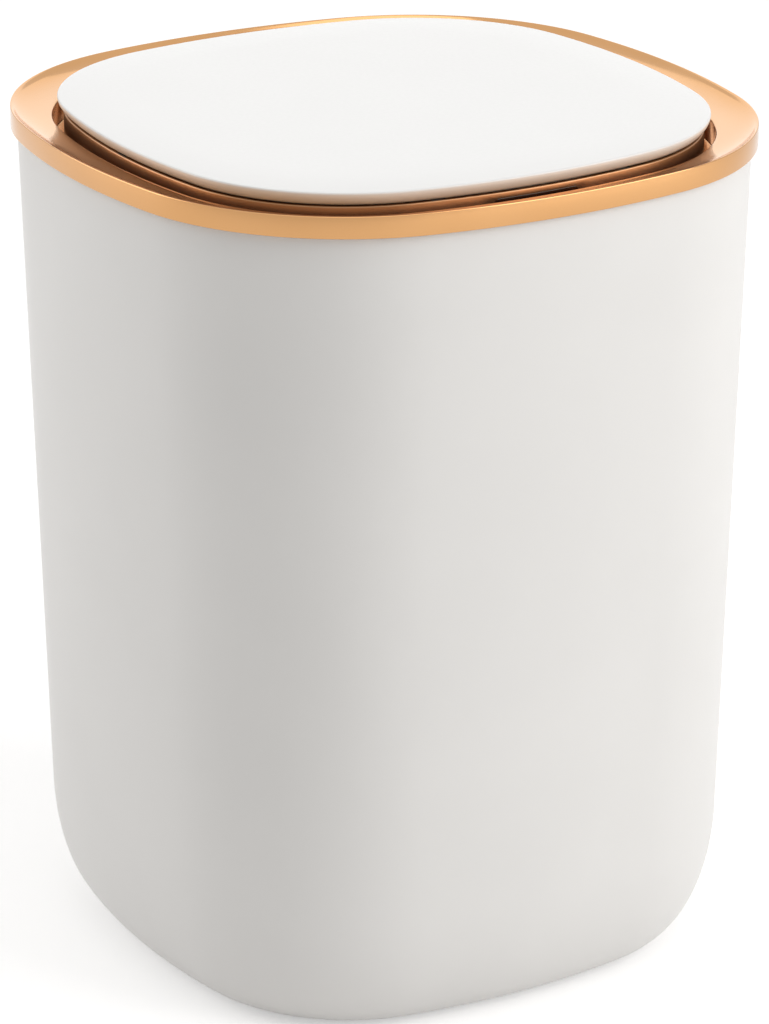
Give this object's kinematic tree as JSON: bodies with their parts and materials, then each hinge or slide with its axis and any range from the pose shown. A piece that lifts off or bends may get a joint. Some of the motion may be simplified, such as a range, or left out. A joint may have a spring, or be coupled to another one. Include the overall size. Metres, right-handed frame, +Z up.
{
  "type": "sensor trash can",
  "caption": "Motion-sensor bin: bowed square bucket with leaning walls, a plated rim, a bag hoop and a geared motor lid that swings up.",
  "frame": {"origin": "on the floor, under the middle of the bin", "axes": "+Z up, the front with the sensor window towards -Y, the hinge along X at the rear"},
  "size_m": [0.236, 0.236, 0.2994],
  "materials": {
    "white_body": "satin moulded polypropylene",
    "white_lid": "smooth satin ABS",
    "white_inner": "moulded ABS",
    "grey_inner": "moulded polypropylene",
    "gold_plate": "polished electroplate on ABS",
    "window_dark": "infrared-passing dark acrylic",
    "pad_rubber": "soft rubber",
    "screw_steel": "zinc-plated",
    "shaft_steel": "ground",
    "bush_nylon": "natural nylon",
    "board_green": "solder mask",
    "diode_clear": "clear epoxy",
    "diode_dark": "dark epoxy",
    "lead_grey": "flat insulated lead",
    "black_moulded": "moulded",
    "motor_can": "drawn can",
    "cell_sleeve": "plain sleeve",
    "contact_nickel": "nickel-plated",
    "gear_acetal": "moulded acetal",
    "gear_brass": "turned"
  },
  "bodies": {
    "bucket_body": {"bucket": "white_body", "foot_pads": "pad_rubber"},
    "bag_hoop": {"bag_ring": "grey_inner"},
    "lid_head": {"gold_rim": "gold_plate", "inner_frame": "white_inner", "rim_screws": "screw_steel", "housing_deck": "white_inner", "deck_screws": "screw_steel", "hinge_bushes": "bush_nylon", "lid_bumpers": "pad_rubber", "sensor_window": "window_dark", "sensor_cover": "white_inner", "sensor_board": "board_green", "infrared_emitter": "diode_clear", "infrared_receiver": "diode_dark", "status_lamp": "diode_clear", "sensor_lead": "lead_grey", "gearbox_case": "black_moulded", "gearbox_cover": "black_moulded", "gearbox_screws": "screw_steel", "gear_axles": "shaft_steel", "drive_motor": "motor_can", "control_board": "board_green", "board_components": "black_moulded", "board_screws": "screw_steel", "battery_cells": "cell_sleeve", "battery_contacts": "contact_nickel", "switch_body": "black_moulded"},
    "lid": {"lid_top": "white_lid", "lid_underside": "white_inner", "lid_screws": "screw_steel", "hinge_shaft": "shaft_steel", "lid_gear": "gear_acetal"},
    "output_wheel": {"output_gear": "gear_acetal"},
    "middle_wheel": {"middle_gear": "gear_acetal"},
    "motor_rotor": {"motor_pinion": "gear_brass"},
    "hatch": {"battery_hatch": "white_inner"},
    "switch_slider": {"switch_knob": "black_moulded"}
  },
  "joints": [
    {"name": "bag_ring_lift", "type": "slide", "parent": "bucket_body", "child": "bag_hoop", "axis": [0, 0, 1], "range_m": [0, 0.04]},
    {"name": "head_lift", "type": "slide", "parent": "bag_hoop", "child": "lid_head", "axis": [0, 0, 1], "range_m": [0, 0.06]},
    {"name": "lid_hinge", "type": "hinge", "parent": "lid_head", "child": "lid", "pos_m": [0, 0.092, 0.2945], "axis": [-1, 0, 0], "range_deg": [0, 75]},
    {"name": "output_turn", "type": "hinge", "parent": "lid_head", "child": "output_wheel", "pos_m": [0.008, 0.08544, 0.27904], "axis": [-1, 0, 0], "range_deg": [-192.5, 0]},
    {"name": "middle_turn", "type": "hinge", "parent": "lid_head", "child": "middle_wheel", "pos_m": [0.013, 0.07721, 0.27537], "axis": [-1, 0, 0], "range_deg": [0, 492.5]},
    {"name": "motor_turn", "type": "hinge", "parent": "lid_head", "child": "motor_rotor", "pos_m": [0.015, 0.06792, 0.2734], "axis": [-1, 0, 0], "range_deg": [-1370, 0]},
    {"name": "hatch_slide", "type": "slide", "parent": "lid_head", "child": "hatch", "axis": [0, 0, -1], "range_m": [0, 0.012]},
    {"name": "switch_slide", "type": "slide", "parent": "lid_head", "child": "switch_slider", "axis": [1, 0, 0], "range_m": [0, 0.003]}
  ],
  "couplings": [
    {"joint": "output_turn", "follows": "lid_hinge", "ratio": -2.5},
    {"joint": "middle_turn", "follows": "lid_hinge", "ratio": 6.5},
    {"joint": "motor_turn", "follows": "lid_hinge", "ratio": -18.2}
  ]
}
